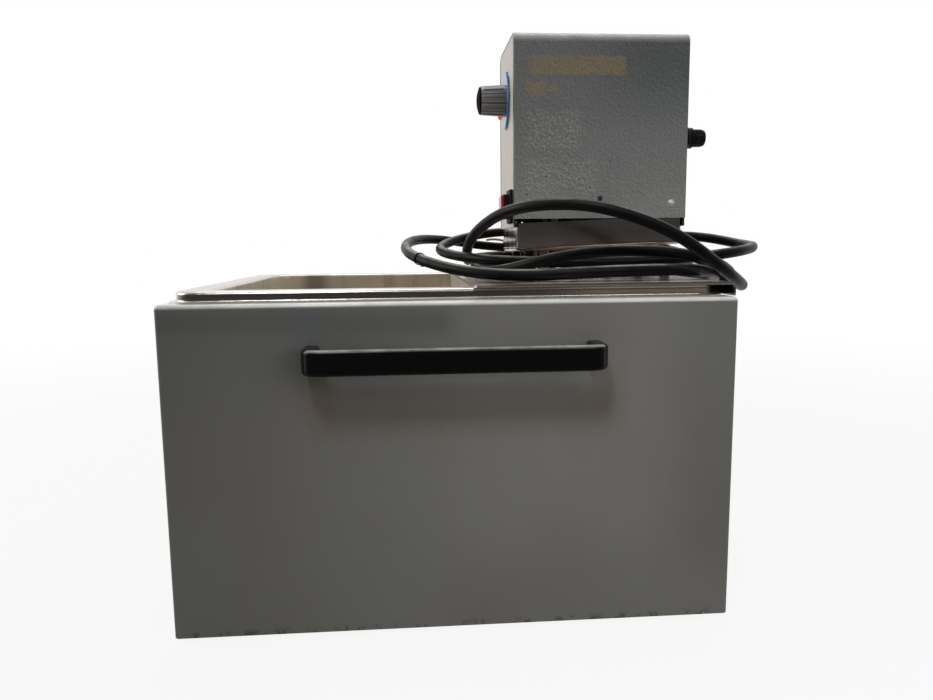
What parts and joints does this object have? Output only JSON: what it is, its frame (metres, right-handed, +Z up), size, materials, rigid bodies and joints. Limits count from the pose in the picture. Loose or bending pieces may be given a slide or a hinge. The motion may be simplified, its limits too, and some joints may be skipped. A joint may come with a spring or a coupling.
{
  "type": "heated circulating bath",
  "caption": "Open stainless water bath in a painted sheet-steel casing, with a lift-off immersion circulator head on a bridge plate and a wound mains lead.",
  "frame": {"origin": "on the floor, under the middle of the casing", "axes": "+X to the circulator end (right), +Y away from the front, +Z up"},
  "size_m": [0.5365, 0.444, 0.5041],
  "materials": {
    "casing_paint": "satin hammer-grey enamel",
    "cover_paint": "satin hammertone grey enamel",
    "panel_paint": "satin warm beige enamel",
    "stainless": "satin",
    "tray_zinc": "zinc plated",
    "screw_zinc": "zinc plated",
    "sheath_steel": "heat tinted",
    "black_rubber": "matte",
    "insulation_foam": "open foam",
    "handle_plastic": "satin black",
    "knob_black": "satin black",
    "knob_grey": "satin grey",
    "skirt_blue": "clear blue",
    "dial_silver": "satin",
    "lamp_lens": "clear red",
    "switch_black": "matte",
    "rocker_red": "clear red",
    "fuse_black": "matte",
    "fuse_glass": "clear",
    "laminations": "varnished",
    "copper_winding": "enamelled wire",
    "brass_bright": "plain",
    "fan_plastic": "matte",
    "bush_bronze": "sintered",
    "board_green": "solder mask",
    "terminal_white": "matte",
    "phenolic_brown": "moulded",
    "tie_yellow": "nylon"
  },
  "bodies": {
    "bath": {"casing_shell": "casing_paint", "base_plate": "tray_zinc", "rubber_feet": "black_rubber", "feet_screws": "screw_zinc", "feet_nuts": "screw_zinc", "tank": "stainless", "tank_insulation": "insulation_foam", "front_handle": "handle_plastic", "rear_handle": "handle_plastic", "handle_screws": "screw_zinc"},
    "circulator": {"bridge_plate": "stainless", "support_posts": "stainless", "post_screws": "screw_zinc", "head_base_pan": "stainless", "head_cover": "cover_paint", "control_panel": "panel_paint", "rear_panel": "panel_paint", "cover_screws": "screw_zinc", "dial_ring": "dial_silver", "thermostat": "phenolic_brown", "thermostat_nut": "brass_bright", "pilot_lamp": "lamp_lens", "switch_housing": "switch_black", "fuse_holder": "fuse_black", "motor_stator": "laminations", "motor_coil": "copper_winding", "motor_pillars": "screw_zinc", "pump_column": "stainless", "shaft_bushes": "bush_bronze", "pump_housing": "stainless", "heater": "sheath_steel", "heater_nuts": "brass_bright", "temperature_probe": "stainless", "probe_nut": "brass_bright", "component_plate": "tray_zinc", "circuit_board": "board_green", "transformer": "laminations", "terminal_block": "terminal_white", "strain_relief": "black_rubber", "mains_lead": "black_rubber", "lead_tie": "tie_yellow", "plug_body": "black_rubber", "plug_pins": "brass_bright"},
    "knob": {"knob": "knob_grey", "knob_skirt": "skirt_blue", "knob_cap": "knob_black", "thermostat_shaft": "brass_bright"},
    "rocker": {"switch_rocker": "rocker_red"},
    "fuse_cap": {"fuse_cap": "fuse_black", "fuse": "fuse_glass"},
    "rotor": {"drive_shaft": "stainless", "motor_rotor": "laminations", "cooling_fan": "fan_plastic", "impeller": "fan_plastic"}
  },
  "joints": [
    {"name": "circulator_lift", "type": "slide", "parent": "bath", "child": "circulator", "axis": [0, 0, 1], "range_m": [0, 0.2]},
    {"name": "knob_turn", "type": "hinge", "parent": "circulator", "child": "knob", "pos_m": [0.0655, 0, 0.4515], "axis": [1, 0, 0], "range_deg": [0, 300]},
    {"name": "rocker_press", "type": "hinge", "parent": "circulator", "child": "rocker", "pos_m": [0.0602, -0.0315, 0.3472], "axis": [0, -1, 0], "range_deg": [0, 10]},
    {"name": "fuse_cap_turn", "type": "hinge", "parent": "circulator", "child": "fuse_cap", "pos_m": [0.23, -0.04, 0.4104], "axis": [1, 0, 0], "range_deg": [0, 90]},
    {"name": "rotor_spin", "type": "hinge", "parent": "circulator", "child": "rotor", "pos_m": [0.135, 0, 0.28], "axis": [0, 0, 1], "continuous": true}
  ]
}
